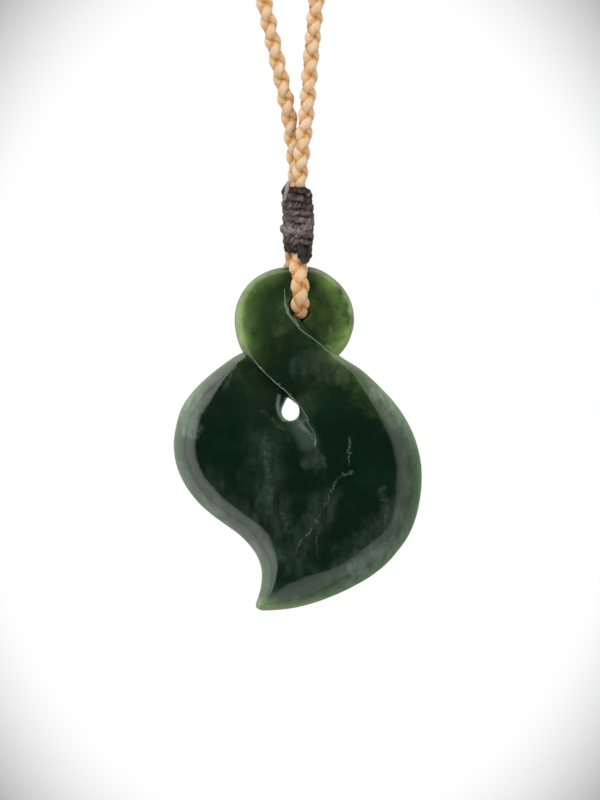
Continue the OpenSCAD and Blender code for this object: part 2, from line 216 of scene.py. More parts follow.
camera = bpy.data.objects.new("camera", bpy.data.cameras.new("camera"))
camera.data.sensor_width = SENSOR
camera.data.lens = SENSOR * VIEW_DISTANCE / VIEW_HEIGHT
camera.location = (VIEW_CENTRE[0], -VIEW_DISTANCE, VIEW_CENTRE[1])
camera.rotation_euler = (math.pi / 2, 0, 0)
camera.data.clip_start, camera.data.clip_end = 0.01, 50
bpy.context.scene.collection.objects.link(camera)
bpy.context.scene.camera = camera
bpy.context.scene.view_settings.view_transform = "Standard"

# The greenstone: one carved and polished stone. A front band and a back band cross below the
# head and run into the blade, whose flat faces end in wide bevels and a thin, clearer rim.
MM = 0.001
BAR_Z = -335.0
# Each row is a station across a band. It gives x and height of its left and right edges, how far its
# middle lies to the front at each edge, half its thickness at each edge, the widths of its bevels on
# the left, the right and the far face's right, and how far its far face stands out right and left.
(LEFT_X, LEFT_Z, RIGHT_X, RIGHT_Z, LEFT_FRONT, RIGHT_FRONT, LEFT_HALF, RIGHT_HALF,
 LEFT_BEVEL, RIGHT_BEVEL, FAR_BEVEL, RIGHT_OUT, LEFT_OUT) = range(13)
FRONT_BAND = [
    (2.55, 2.50, 1.30, -2.35, -0.15, -0.15, 2.20, 2.20, 2.60, 2.00, 2.00, 0.00, 0.0),
    (-0.45, 2.70, 0.20, -2.40, 0.00, 0.00, 2.20, 2.20, 2.40, 2.20, 2.20, 0.00, 0.0),
    (-3.45, 2.35, -0.80, -2.38, 0.15, 0.15, 2.20, 2.20, 2.60, 0.90, 2.00, 0.00, 0.0),
    (-6.15, 1.12, -1.55, -2.60, 0.30, 0.35, 2.25, 2.25, 3.00, 0.45, 1.70, 0.45, 0.0),
    (-8.10, -0.82, -1.90, -3.00, 0.40, 0.60, 2.30, 2.30, 3.40, 0.35, 1.60, 0.85, 0.0),
    (-9.30, -3.45, -1.85, -3.70, 0.50, 0.90, 2.35, 2.35, 3.80, 0.30, 1.40, 0.80, 0.0),
    (-9.45, -6.45, -1.43, -4.65, 0.60, 1.20, 2.40, 2.40, 3.90, 0.30, 3.00, 0.50, 0.0),
    (-8.47, -9.75, -0.45, -5.92, 0.90, 1.40, 2.40, 2.40, 1.20, 0.25, 4.40, 0.90, 0.0),
    (-6.54, -12.00, 1.20, -7.20, 1.30, 1.60, 2.40, 2.40, 0.35, 0.25, 4.60, 0.50, 0.0),
    (-4.20, -14.32, 3.75, -9.00, 1.50, 1.50, 2.40, 2.40, 0.25, 0.35, 3.40, 0.20, 0.0),
    (-2.10, -16.12, 6.60, -10.95, 1.50, 1.00, 2.40, 2.50, 0.25, 0.80, 1.80, 0.00, 0.0),
    (-0.45, -17.85, 9.45, -12.75, 1.15, 0.45, 2.50, 2.75, 0.35, 1.40, 2.90, 0.00, 0.5),
    (0.90, -19.50, 12.00, -15.07, 0.70, 0.10, 2.78, 3.02, 0.35, 2.30, 3.60, 0.00, 3.5),
    (1.88, -21.00, 14.40, -17.62, 0.27, 0.00, 3.02, 3.13, 0.50, 3.30, 4.00, 0.00, 6.5),
    (2.40, -22.20, 16.25, -20.30, 0.05, 0.00, 3.13, 3.15, 0.30, 3.90, 4.05, 0.00, 8.0),
    (2.70, -23.25, 17.60, -23.25, 0.00, 0.00, 3.15, 3.15, 0.02, 4.10, 4.10, 0.00, 8.4),
    (2.70, -25.50, 18.40, -26.55, 0.00, 0.00, 3.15, 3.15, 0.02, 4.30, 4.30, 0.00, 8.4),
]
BACK_BAND = [
    (3.45, 2.35, 0.80, -2.38, -0.15, -0.15, 2.20, 2.20, 2.60, 2.00, 2.00, 0.00, 0.0),
    (0.45, 2.70, -0.20, -2.40, 0.00, 0.00, 2.20, 2.20, 2.40, 2.20, 2.20, 0.00, 0.0),
    (-2.55, 2.50, -1.30, -2.35, 0.15, 0.15, 2.20, 2.20, 2.60, 2.00, 0.90, 0.00, 0.0),
    (-5.25, 0.97, -2.05, -2.55, 0.30, 0.35, 2.25, 2.25, 3.00, 1.50, 0.50, 0.40, 0.0),
    (-7.05, -0.90, -2.45, -3.00, 0.40, 0.60, 2.30, 2.30, 3.40, 1.20, 0.45, 0.75, 0.0),
    (-8.17, -3.30, -2.40, -3.70, 0.50, 0.90, 2.35, 2.35, 3.80, 0.90, 0.60, 0.70, 0.0),
    (-8.37, -6.00, -1.88, -4.80, 0.60, 1.20, 2.40, 2.40, 3.90, 0.80, 3.20, 0.35, 0.0),
    (-7.57, -8.70, -0.90, -6.00, 0.90, 1.40, 2.40, 2.40, 2.60, 0.70, 5.00, 0.90, 0.0),
    (-6.45, -10.28, 0.75, -7.05, 1.20, 1.60, 2.40, 2.40, 1.40, 0.70, 5.50, 0.60, 0.0),
    (-4.74, -12.00, 3.00, -8.25, 1.40, 1.60, 2.40, 2.40, 0.80, 0.80, 4.00, 0.30, 0.0),
    (-2.70, -13.95, 5.70, -9.45, 1.50, 1.40, 2.40, 2.40, 0.70, 1.20, 1.40, 0.10, 0.0),
    (-0.75, -15.75, 8.70, -10.35, 1.45, 0.95, 2.45, 2.45, 0.70, 1.90, 1.10, 0.00, 0.0),
    (1.05, -17.40, 11.55, -12.22, 1.10, 0.40, 2.55, 2.78, 0.70, 2.60, 1.70, 0.00, 0.5),
    (2.55, -19.20, 14.10, -14.32, 0.70, 0.08, 2.78, 3.03, 0.60, 3.20, 2.70, 0.00, 3.5),
    (3.60, -21.00, 16.20, -16.57, 0.27, 0.00, 3.02, 3.13, 0.50, 3.50, 3.50, 0.00, 6.5),
    (4.20, -22.20, 17.70, -19.12, 0.05, 0.00, 3.13, 3.15, 0.30, 3.55, 3.55, 0.00, 8.0),
    (4.50, -23.25, 18.60, -23.25, 0.00, 0.00, 3.15, 3.15, 0.02, 3.55, 3.55, 0.00, 8.4),
    (4.50, -25.50, 18.30, -26.70, 0.00, 0.00, 3.15, 3.15, 0.02, 3.60, 3.60, 0.00, 8.4),
]
# Rows of the blade: x and height of both edges, half its thickness, and its left and right bevels.
BLADE = [
    (-17.70, -19.12, 16.25, -20.30, 3.15, 3.55, 4.05),
    (-18.60, -23.25, 17.60, -23.25, 3.15, 3.55, 4.10),
    (-18.30, -26.70, 18.40, -26.55, 3.15, 3.60, 4.30),
    (-17.10, -29.70, 18.52, -29.77, 3.15, 4.10, 4.40),
    (-15.22, -32.32, 18.15, -32.85, 3.15, 4.90, 4.20),
    (-13.05, -34.35, 17.47, -35.48, 3.15, 5.60, 3.90),
    (-10.80, -36.00, 16.43, -37.80, 3.15, 5.80, 4.40),
    (-8.85, -37.42, 15.00, -39.82, 3.12, 5.20, 5.40),
    (-7.35, -38.92, 13.20, -41.85, 3.10, 4.30, 6.00),
    (-6.22, -40.50, 10.95, -43.65, 3.05, 3.40, 6.70),
    (-5.55, -42.30, 8.40, -45.15, 3.00, 2.60, 7.80),
    (-5.43, -43.88, 5.55, -46.50, 2.85, 2.10, 7.60),
    (-5.62, -45.45, 2.55, -47.62, 2.55, 1.70, 6.00),
    (-6.00, -46.80, -0.60, -48.42, 2.05, 1.30, 4.00),
    (-6.33, -47.77, -3.45, -48.75, 1.45, 0.80, 2.00),
    (-6.30, -48.38, -5.40, -48.82, 0.70, 0.35, 0.50),
    (-6.15, -48.60, -5.85, -48.82, 0.20, 0.10, 0.10),
]
STATION_STEPS, FACE_STEPS, BEVEL_STEPS = 8, 10, 10
RIM_SLOPE, FACE_SLOPE, RIM_SHARE = math.radians(66), math.radians(14), 0.07
# Above CROWN_END the bands have no bevel but a gently crowned face with a tight edge.
CROWN_END, CROWN_FADE, CROWN_SHARE, CROWN_EDGE = -12.0, 3.0, 0.14, 18
VOXEL, KEEP_FACES = 0.15, 0.52


def curve_rows(rows, steps):
    """The rows of a smooth curve through rows of numbers, whose first and last rows only steer it."""
    rows = np.array(rows, float)
    t = np.arange(steps)[:, None] / steps
    made = []
    for a, b, c, d in zip(rows, rows[1:], rows[2:], rows[3:]):
        made.append(0.5 * (2 * b + (c - a) * t + (2 * a - 5 * b + 4 * c - d) * t**2
                           + (3 * b - a - 3 * c + d) * t**3))
    return np.concatenate([*made, rows[-2:-1]])


def station(row):
    """One closed outline round a band: bevel, flat and bevel on its own face, then on its far face."""
    start, across = row[[LEFT_X, LEFT_Z]], row[[RIGHT_X, RIGHT_Z]] - row[[LEFT_X, LEFT_Z]]
    length = np.linalg.norm(across)
    slope = RIM_SLOPE + (FACE_SLOPE - RIM_SLOPE) * np.linspace(0, 1, BEVEL_STEPS + 1)
    run = (math.sin(RIM_SLOPE) - np.sin(slope)) / (math.sin(RIM_SLOPE) - math.sin(FACE_SLOPE))
    rise = RIM_SHARE + (1 - RIM_SHARE) * ((np.cos(slope) - math.cos(RIM_SLOPE))
                                          / (math.cos(FACE_SLOPE) - math.cos(RIM_SLOPE)))

    def points(share, shift, level):
        spot = start + across * share[:, None] + across / length * shift[:, None]
        middle = row[LEFT_FRONT] + (row[RIGHT_FRONT] - row[LEFT_FRONT]) * share
        half = row[LEFT_HALF] + (row[RIGHT_HALF] - row[LEFT_HALF]) * share
        return np.column_stack([spot[:, 0], -(middle + half * level), spot[:, 1]])

    crown = min(1.0, max(0.0, (row[LEFT_Z] - CROWN_END) / CROWN_FADE))
    crowned = 1 - (1 - RIM_SHARE) * (CROWN_SHARE * (1 - run) ** 2
                                     + (1 - CROWN_SHARE) * (1 - run) ** CROWN_EDGE)
    edge_rise = rise + crown * (crowned - rise)
    outline = []
    for side in (1, -1):
        left = row[LEFT_BEVEL] * run - row[LEFT_OUT] * (1 - side * rise) / 2
        if side == 1:
            right = row[RIGHT_OUT] * (1 - rise) - row[RIGHT_BEVEL] * run
        else:
            right = row[RIGHT_OUT] * (1 - RIM_SHARE) - row[FAR_BEVEL] * run
        flat = np.linspace(left[-1], length + right[-1], FACE_STEPS + 1)[1:-1]
        near = np.concatenate([left, flat])
        level = side * np.concatenate([edge_rise, np.ones(FACE_STEPS - 1)])
        inside = np.maximum(near, 0)
        face = np.concatenate([
            points(inside / length, near - inside, level),
            points(np.ones(BEVEL_STEPS + 1), right[::-1], side * edge_rise[::-1]),
        ])
        outline.append(face if side == 1 else face[::-1])
    return np.concatenate(outline)


def loft(rings):
    """Points and faces of a closed solid through rings that have the same number of points."""
    n, last = len(rings[0]), (len(rings) - 1) * len(rings[0])
    faces = [tuple(range(n - 1, -1, -1)), tuple(range(last, last + n))]
    for i in range(len(rings) - 1):
        for j in range(n):
            a, b = i * n + j, i * n + (j + 1) % n
            faces.append((a, b, b + n, a + n))
    return np.concatenate(rings), faces


def merged(solids):
    """Several solids' points and faces as one list of points and one of faces."""
    points, faces, shift = [], [], 0
    for some_points, some_faces in solids:
        points.append(some_points)
        faces += [tuple(i + shift for i in face) for face in some_faces]
        shift += len(some_points)
    return np.concatenate(points), faces


def settle(piece):
    """Turns a piece's modifiers into plain mesh."""
    graph = bpy.context.evaluated_depsgraph_get()
    mesh = bpy.data.meshes.new_from_object(piece.evaluated_get(graph))
    old = piece.data
    piece.modifiers.clear()
    piece.data = mesh
    bpy.data.meshes.remove(old)


front = loft([station(row) for row in curve_rows(FRONT_BAND, STATION_STEPS)])
back = loft([station(row) * (-1, -1, 1) for row in curve_rows(BACK_BAND, STATION_STEPS)])
blade_rows = [(*edges, 0, 0, half, half, left, right, right, 0, 0) for *edges, half, left, right in BLADE]
blade = loft([station(row) for row in curve_rows(blade_rows, STATION_STEPS)])
points, faces = merged([front, back, blade])
stone = new_object("twist_stone", points * MM + (0, 0, BAR_Z * MM), faces)
stone.modifiers.new("one_skin", "REMESH").voxel_size = VOXEL * MM
settle(stone)

# The drilled hole beside the crossing: a waist with a point at its top, opened by wear towards both
# faces. Rows are y, how much wider the hole is there, and how far it has moved in x and height.
HOLE_AT, HOLE_R, HOLE_SIDES = (-1.06, -19.02), 1.37, 64
POINT_FROM_MIDDLE, POINT_TURN = 2.25, math.radians(104)
HOLE_ROWS = [(-4.6, 0.60, -0.85, 0.45), (-3.2, 0.34, -0.52, 0.28), (-2.2, 0.14, -0.24, 0.13),
             (-1.3, 0.02, -0.04, 0.02), (0.0, 0.0, 0.0, 0.0), (1.3, 0.03, 0.03, 0.0),
             (2.2, 0.16, 0.1, 0.0), (3.2, 0.42, 0.2, 0.0), (4.6, 0.75, 0.3, 0.0)]
hole_turn = -np.arange(HOLE_SIDES) * math.tau / HOLE_SIDES
off_point = np.abs((hole_turn - POINT_TURN + math.pi) % math.tau - math.pi)
tangent_at = math.acos(HOLE_R / POINT_FROM_MIDDLE)
hole_r = np.where(off_point < tangent_at, HOLE_R / np.cos(tangent_at - off_point), HOLE_R)
hole_rings = []
for y, wider, x, z in HOLE_ROWS:
    hole_rings.append(np.column_stack([HOLE_AT[0] + x + (hole_r + wider) * np.cos(hole_turn),
                                       np.full(HOLE_SIDES, y),
                                       HOLE_AT[1] + z + (hole_r + wider) * np.sin(hole_turn)]))
points, faces = loft(hole_rings)
drill = new_object("drill", points * MM + (0, 0, BAR_Z * MM), faces)
cut = stone.modifiers.new("small_hole", "BOOLEAN")
cut.object, cut.operation, cut.solver = drill, "DIFFERENCE", "EXACT"
settle(stone)
bpy.data.objects.remove(drill)


def mesh_edges(mesh):
    """The two points of each of a mesh's edges."""
    edges = np.empty(len(mesh.edges) * 2, int)
    mesh.edges.foreach_get("vertices", edges)
    return edges.reshape(-1, 2).T


def places_of(mesh):
    """Where a mesh's points are, in metres."""
    places = np.empty(len(mesh.vertices) * 3)
    mesh.vertices.foreach_get("co", places)
    return places.reshape(-1, 3)


def normals(mesh):
    """The way that a mesh's surface faces at each of its points."""
    facing = np.empty(len(mesh.vertices) * 3)
    mesh.vertices.foreach_get("normal", facing)
    return facing.reshape(-1, 3)


POLISH_STEP, SETTLE_STEP = 0.5, 0.9


def polished(mesh, places, strength, rounds):
    """Points of a mesh after rounds of drawing each towards its neighbours, by its own strength."""
    a, b = mesh_edges(mesh)
    count = np.bincount(np.concatenate([a, b]), minlength=len(places))[:, None]
    for _ in range(rounds):
        total = np.column_stack([np.bincount(a, along[b], len(places)) + np.bincount(b, along[a], len(places))
                                 for along in places.T])
        places = places + POLISH_STEP * strength[:, None] * (total / count - places)
    return places


def levelled(mesh, heights, amount, sheet, rounds):
    """Heights of a mesh's points after one sheet of its surface has settled smoothly, by its own
    amount, between the parts that stay."""
    a, b = mesh_edges(mesh)
    used = sheet[a] & sheet[b] & ((amount[a] > 0) | (amount[b] > 0))
    near, local = np.unique(np.concatenate([a[used], b[used]]), return_inverse=True)
    a, b = np.split(local, 2)
    count, now, amount = np.bincount(local, minlength=len(near)), heights[near], amount[near]
    for _ in range(rounds):
        total = np.bincount(a, now[b], len(near)) + np.bincount(b, now[a], len(near))
        now = now + SETTLE_STEP * amount * (total / count - now)
    settled = heights.copy()
    settled[near] = now
    return settled


def bend(mesh, places, rounds):
    """How strongly the surface bends at each point, per millimetre: over at an edge is positive, into
    a crease is negative."""
    a, b = mesh_edges(mesh)
    facing = normals(mesh)
    step = places[b] - places[a]
    reach = np.sum(step * step, axis=1) / MM
    count = np.bincount(np.concatenate([a, b]), minlength=len(places))
    turn = (np.bincount(a, -np.sum(step * facing[a], axis=1) / reach, len(places))
            + np.bincount(b, np.sum(step * facing[b], axis=1) / reach, len(places))) / count
    return polished(mesh, turn[:, None], np.ones(len(places)), rounds)[:, 0]


# Where the stone is worn rounder than elsewhere: x and height of the middle, reach, strength, and how
# far to the front it goes.
WORN = [(-6.5, -5.0, 4.6, 0.7, -9.0), (-0.5, 3.0, 4.6, 0.6, -9.0),
        (6.6, -8.6, 2.4, 0.9, -2.4), (2.2, -23.4, 2.0, 0.3, -9.0)]
WORN_ALL_OVER, WORN_EDGE, WORN_FADE, CREASE_BEND = 0.08, 1.6, 0.8, -0.35
# Rounds of polishing, and the share of the polishing that creases get in them.
POLISHING = [(15, 1.0), (45, 0.1)]
mesh = stone.data
places = places_of(mesh)
flat_place = places[:, [0, 2]] / MM - (0, BAR_Z)
strength = np.full(len(places), WORN_ALL_OVER)
for x, z, reach_mm, amount, front_limit in WORN:
    away = np.hypot(flat_place[:, 0] - x, flat_place[:, 1] - z) / reach_mm
    behind = np.clip((places[:, 1] / MM - front_limit) / WORN_FADE, 0, 1)
    strength = np.maximum(strength, amount * behind * np.clip(WORN_EDGE - WORN_EDGE * away, 0, 1))
for rounds, crease_share in POLISHING:
    strength = np.where(bend(mesh, places, 3) < CREASE_BEND, crease_share * strength, strength)
    places = polished(mesh, places, strength, rounds)
    mesh.vertices.foreach_set("co", places.ravel())
    mesh.update()

# The faces round the eye and round the small hole are polished smoothly right up to their edges.
# Inside the stone the eye closes on the cord. Rows are x and height of the middle, how far out the
# face is all smooth, how much further that fades, and how high up it goes.
EYE_AT, EYE_FROM, EYE_TO, EYE_SPREAD, EYE_INSIDE, EYE_FADE = (0.3, -3.85), 1.65, 1.10, 1.3, 1.25, 2.3
SMOOTH = [(*EYE_AT, 4.4, 3.4, -0.6), (-2.0, -20.8, 5.0, 3.0, -12.0), (-5.4, -14.0, 2.4, 2.0, -10.6)]
SMOOTH_TOP_FADE, SMOOTH_ROUNDS, FLAT_FACING = 1.2, 2500, -0.74
flat_place = places[:, [0, 2]] / MM - (0, BAR_Z)
facing_front = normals(mesh)[:, 1] < FLAT_FACING
for x, z, whole, fade, top in SMOOTH:
    away = np.hypot(flat_place[:, 0] - x, flat_place[:, 1] - z)
    below_top = np.clip((top - flat_place[:, 1]) / SMOOTH_TOP_FADE, 0, 1)
    amount = np.clip((whole + fade - away) / fade, 0, 1) * below_top
    places[:, 1] = levelled(mesh, places[:, 1], amount, facing_front, SMOOTH_ROUNDS)
# Below the small hole the front band's edge runs out in a shallow scoop along its left side.
SCOOP_EDGE = [(-24.6, 2.45), (-23.9, 2.6), (-22.9, 2.6), (-22.0, 2.28), (-20.7, 1.41), (-19.6, 0.60)]
SCOOP_DEEP, SCOOP_WIDE, SCOOP_LIP = 1.0, 1.9, 0.12
SCOOP_END, SCOOP_LONG, SCOOP_START, SCOOP_FADE = -24.5, 3.6, -19.2, 0.9
edge_z, edge_x = np.array(SCOOP_EDGE).T
beside = np.interp(flat_place[:, 1], edge_z, edge_x) - flat_place[:, 0]
deep = (SCOOP_DEEP * np.clip((flat_place[:, 1] - SCOOP_END) / SCOOP_LONG, 0, 1)
        * np.clip((SCOOP_START - flat_place[:, 1]) / SCOOP_FADE, 0, 1))
falls_off = np.exp(-np.maximum(beside, 0) / SCOOP_WIDE)
places[:, 1] += MM * facing_front * deep * np.clip(beside / SCOOP_LIP, 0, 1) * falls_off
from_eye = flat_place - EYE_AT
reach = np.maximum(np.linalg.norm(from_eye, axis=1), 0.1)
inside = np.clip(EYE_INSIDE - np.abs(places[:, 1] / MM) / EYE_FADE, 0, 1)
pull = (EYE_TO - EYE_FROM) * inside * np.exp(-(np.clip(reach - EYE_FROM, 0, None) / EYE_SPREAD) ** 2)
places[:, [0, 2]] += from_eye * (pull / reach)[:, None] * MM
low, high = (np.array(corner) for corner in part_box("greenstone"))
places = low + (places - places.min(0)) * (high - low) / np.ptp(places, axis=0)
mesh.vertices.foreach_set("co", places.ravel())
mesh.update()
stone.modifiers.new("fewer_faces", "DECIMATE").ratio = KEEP_FACES
settle(stone)
mesh = stone.data
mesh.shade_smooth()
places = places_of(mesh)
# Rays start in front of the stone. They run a little beside each point, so they don't meet an edge.
RAY_START, RAY_BESIDE, RAY_STEP, MOST_SURFACES = -0.01, (3e-6, 2e-6), 1e-6, 6


def depth_through(mesh, places, rounds):
    """Millimetres of stone that light from behind crosses at each point, evened out between neighbours."""
    tree = BVHTree.FromPolygons([v.co for v in mesh.vertices], [p.vertices for p in mesh.polygons])
    along = Vector((0, 1, 0))
    depth = np.zeros(len(places))
    for i, (x, _, z) in enumerate(places):
        y, turns = RAY_START, []
        while len(turns) < MOST_SURFACES:
            hit = tree.ray_cast((x + RAY_BESIDE[0], y, z + RAY_BESIDE[1]), along)[0]
            if hit is None:
                break
            turns.append(hit.y)
            y = hit.y + RAY_STEP
        depth[i] = sum(b - a for a, b in zip(turns[::2], turns[1::2])) / MM
    return polished(mesh, depth[:, None], np.ones(len(places)), rounds)[:, 0]


def store(mesh, name, values):
    """Puts a value on each point of a mesh, for its material to read."""
    mesh.attributes.new(name, "FLOAT", "POINT").data.foreach_set("value", np.asarray(values, np.float32))


OUTLINE_STEP, EDGE_ON = 0.00012, 0.8


def from_outline(mesh, places):
    """Millimetres, seen from the front, from each point to the stone's outline."""
    tree = BVHTree.FromPolygons([v.co for v in mesh.vertices], [p.vertices for p in mesh.polygons])
    along, edge = Vector((0, 1, 0)), []
    for v in mesh.vertices:
        away = Vector((v.normal.x, 0, v.normal.z))
        spot = Vector((v.co.x, RAY_START, v.co.z)) + away.normalized() * OUTLINE_STEP
        if away.length > EDGE_ON and tree.ray_cast(spot, along)[0] is None:
            edge.append((v.co.x, 0, v.co.z))
    nearest = KDTree(len(edge))
    for i, at in enumerate(edge):
        nearest.insert(at, i)
    nearest.balance()
    return np.array([nearest.find((x, 0, z))[2] for x, _, z in places]) / MM


# The head lets light in at its rim, most of all at its right and lower right. The tip does too.
HEAD_END, HEAD_FADE, HEAD_MIDDLE, HEAD_HALF, HEAD_DEPTH = -12.2, 3.8, -4.5, 9.0, 5.2
TIP_TOP, TIP_FADE, TIP_LIGHT = -46.6, 1.8, 0.55
# How far in the rim's light reaches, with more at the sides and low down. Then how strong it is, with
# more at the sides, at the right and at the lower right.
REACH_ALL, REACH_SIDES, REACH_LOWER = 0.8, 1.1, 0.2
LIT_ALL, LIT_SIDES, LIT_RIGHT, LIT_LOWER = 0.06, 0.86, 0.85, 0.45
flat_place = places[:, [0, 2]] / MM - (0, BAR_Z)
depth = depth_through(mesh, places, 25)
sideways = np.clip(flat_place[:, 0] / HEAD_HALF, -1, 1)
rightward = np.maximum(sideways, 0)
lower = np.clip((HEAD_MIDDLE - flat_place[:, 1]) / (HEAD_HALF / 2), 0, 1)
light_reach = REACH_ALL + REACH_SIDES * np.abs(sideways) + REACH_LOWER * lower
in_head = np.clip((flat_place[:, 1] - HEAD_END) / HEAD_FADE, 0, 1)
store(mesh, "depth", depth + in_head * np.maximum(HEAD_DEPTH - depth, 0))
strength = LIT_ALL + LIT_SIDES * np.abs(sideways) + (LIT_RIGHT + LIT_LOWER * lower) * rightward
in_tip = TIP_LIGHT * np.clip((TIP_TOP - flat_place[:, 1]) / TIP_FADE, 0, 1)
at_rim = np.exp(-from_outline(mesh, places) / light_reach)
store(mesh, "edge_light", np.maximum(in_head * strength * at_rim, in_tip))
store(mesh, "bend", bend(mesh, places, 2))

# Marks in the stone, as lines of (x, height) in the stone's own place, with how wide and how strong
# each one is. First pale wisps and healed cracks, then soft haze.
WISPS = [
    (0.22, 0.22, [(-5.4, -18.9), (-1.5, -22.1)]),
    (0.18, 0.42, [(7.7, -22.6), (7.6, -25.4)]),
    (0.15, 0.38, [(7.6, -25.4), (7.4, -26.9)]),
    (0.17, 0.55, [(8.0, -28.0), (6.4, -28.6)]),
    (0.16, 0.50, [(6.4, -28.6), (5.5, -29.4), (4.0, -33.0)]),
    (0.12, 0.45, [(3.6, -34.0), (1.9, -36.6), (-0.9, -40.2)]),
    (0.10, 0.28, [(2.9, -35.4), (2.8, -41.0)]),
    (0.45, 0.15, [(-4.6, -23.0), (-4.2, -33.8)]),
    (0.35, 0.25, [(-2.6, -34.0), (-1.6, -36.8)]),
    (0.50, 0.16, [(12.6, -30.6), (12.9, -35.2)]),
    (0.14, 0.8, [(-2.9, -14.9), (-1.2, -16.4)]),
    (0.12, 0.6, [(-7.4, -11.0), (-5.2, -13.0)]),
    (0.14, 0.35, [(-0.4, -46.2), (-0.4, -47.4)]),
]
HAZE = [
    (2.3, 0.050, [(-5.0, -24.5), (-3.6, -35.0)]),
    (1.2, 0.08, [(1.8, -23.4), (2.6, -26.2)]),
    (1.9, 0.055, [(4.0, -32.0), (-0.6, -41.0)]),
    (1.3, 0.30, [(-15.3, -16.6), (-16.6, -21.5)]),
    (2.2, 0.065, [(-12.0, -31.5), (-5.0, -39.5)]),
    (2.4, 0.085, [(6.5, -44.0), (15.0, -35.5)]),
    (1.8, 0.070, [(0.4, -11.0), (6.0, -12.0)]),
    (1.1, 0.17, [(12.4, -15.4), (16.6, -22.0)]),
    (1.4, 0.22, [(9.0, -43.2), (15.8, -38.0)]),
]
# Where light glows through, by the right shoulder and at the tip. Then painted highlights, pale lines
# and patches along the eye's rim, at the small hole's left mouth, and in the scoop below it.
GLOW = [
    (2.4, 0.11, [(8.0, -11.2), (13.2, -18.0)]),
    (1.2, 0.13, [(-6.2, -47.2), (-4.2, -47.9)]),
]
RIM_HIGHLIGHTS = [
    (0.065, 0.58, [(-2.02, -0.8), (-1.93, -2.9), (-1.55, -4.4), (-0.7, -5.55), (0.1, -6.25)]),
    (0.24, 0.42, [(-2.85, -16.7), (-3.05, -18.1), (-2.75, -19.3), (-2.1, -20.2)]),
    (1.25, 0.13, [(0.3, -21.2), (1.5, -23.6)]),
]
# Colours by how much stone the light crosses, as a share of DEPTH_FULL: in the blade, and in the
# clearer head and tip. Then the stone where it is brown, where it is lit from within, and its marks and
# painted highlights.
DEPTH_FULL = 8.0
BLADE_GREEN = [
    (0.0, (0.085, 0.175, 0.055)), (0.12, (0.052, 0.115, 0.034)), (0.25, (0.024, 0.062, 0.015)),
    (0.38, (0.015, 0.045, 0.011)), (0.54, (0.011, 0.031, 0.009)), (0.68, (0.0055, 0.0165, 0.0065)),
    (0.80, (0.0021, 0.0082, 0.0046)),
]
HEAD_GREEN = [
    (0.0, (0.150, 0.250, 0.070)), (0.30, (0.034, 0.066, 0.018)), (0.50, (0.0095, 0.022, 0.0075)),
    (0.66, (0.0052, 0.0145, 0.0052)), (0.80, (0.0042, 0.0125, 0.0046)),
]
BROWN, LIT_GREEN, MILKY_AND_HIGHLIGHT = (0.024, 0.026, 0.010, 1), (0.150, 0.250, 0.055, 1), (0.185, 0.27, 0.19, 1)


def segment_group():
    """Millimetres from a place to a straight line between two points, all seen from the front."""
    group = bpy.data.node_groups.new("near_segment", "ShaderNodeTree")
    for name in ("Place", "From", "Along"):
        group.interface.new_socket(name, in_out="INPUT", socket_type="NodeSocketVector")
    group.interface.new_socket("Distance", in_out="OUTPUT", socket_type="NodeSocketFloat")
    nodes = Nodes(group)
    given = nodes.add("NodeGroupInput").outputs
    offset = nodes.vector("SUBTRACT", given["Place"], given["From"])
    upon = nodes.vector("DOT_PRODUCT", offset, given["Along"])
    square = nodes.vector("DOT_PRODUCT", given["Along"], given["Along"])
    share = nodes.number("DIVIDE", upon, square, use_clamp=True)
    spot = nodes.add("ShaderNodeVectorMath", {0: given["Along"], "Scale": share}, operation="SCALE")
    gap = nodes.vector("SUBTRACT", offset, spot.outputs[0])
    nodes.add("NodeGroupOutput", {"Distance": nodes.vector("LENGTH", gap)})
    return group


near_segment = segment_group()

nephrite, nodes = new_material("polished_nephrite")
place = nodes.add("ShaderNodeTexCoord").outputs["Object"]
height = nodes.add("ShaderNodeSeparateXYZ", {0: place}).outputs["Z"]
flat = nodes.vector("MULTIPLY_ADD", place, (1 / MM, 0, 1 / MM), (0, 0, -BAR_Z))


def shifted(noise, wide):
    """The place seen from the front, moved by a noise that goes over so many millimetres."""
    either_way = nodes.vector("SUBTRACT", noise.node.outputs["Color"], (0.5, 0.5, 0.5))
    return nodes.vector("MULTIPLY_ADD", either_way, (wide, 0, wide), flat)


def drawn(lines, where):
    """A mask that is strongest along some lines in the stone."""
    mask = None
    for width, amount, line in lines:
        nearest = None
        for (x, z), (x_next, z_next) in zip(line, line[1:]):
            ends = {"Place": where, "From": (x, 0, z), "Along": (x_next - x, 0, z_next - z)}
            reach = nodes.add("ShaderNodeGroup", ends, node_tree=near_segment).outputs[0]
            nearest = reach if nearest is None else nodes.number("MINIMUM", nearest, reach)
        strong = nodes.ranged(nearest, 0.0, 2 * width, amount, 0.0, "SMOOTHERSTEP")
        mask = strong if mask is None else nodes.number("MAXIMUM", mask, strong)
    return mask


drift, cloud = nodes.noise(place, 280.0, 4.0, 0.65), nodes.noise(place, 260.0, 5.0, 0.62)
wandering, drifting = shifted(nodes.noise(place, 900.0, 3.0, 0.6), 1.9), shifted(drift, 9.0)
wisp, haze = drawn(WISPS, wandering), drawn(HAZE, drifting)
# The last two masks are painted light: glow where light comes through, and pale painted highlights.
glow, rim_highlight = drawn(GLOW, drifting), drawn(RIM_HIGHLIGHTS, flat)
depth, edge_light, bend_here = (nodes.attribute(name) for name in ("depth", "edge_light", "bend"))
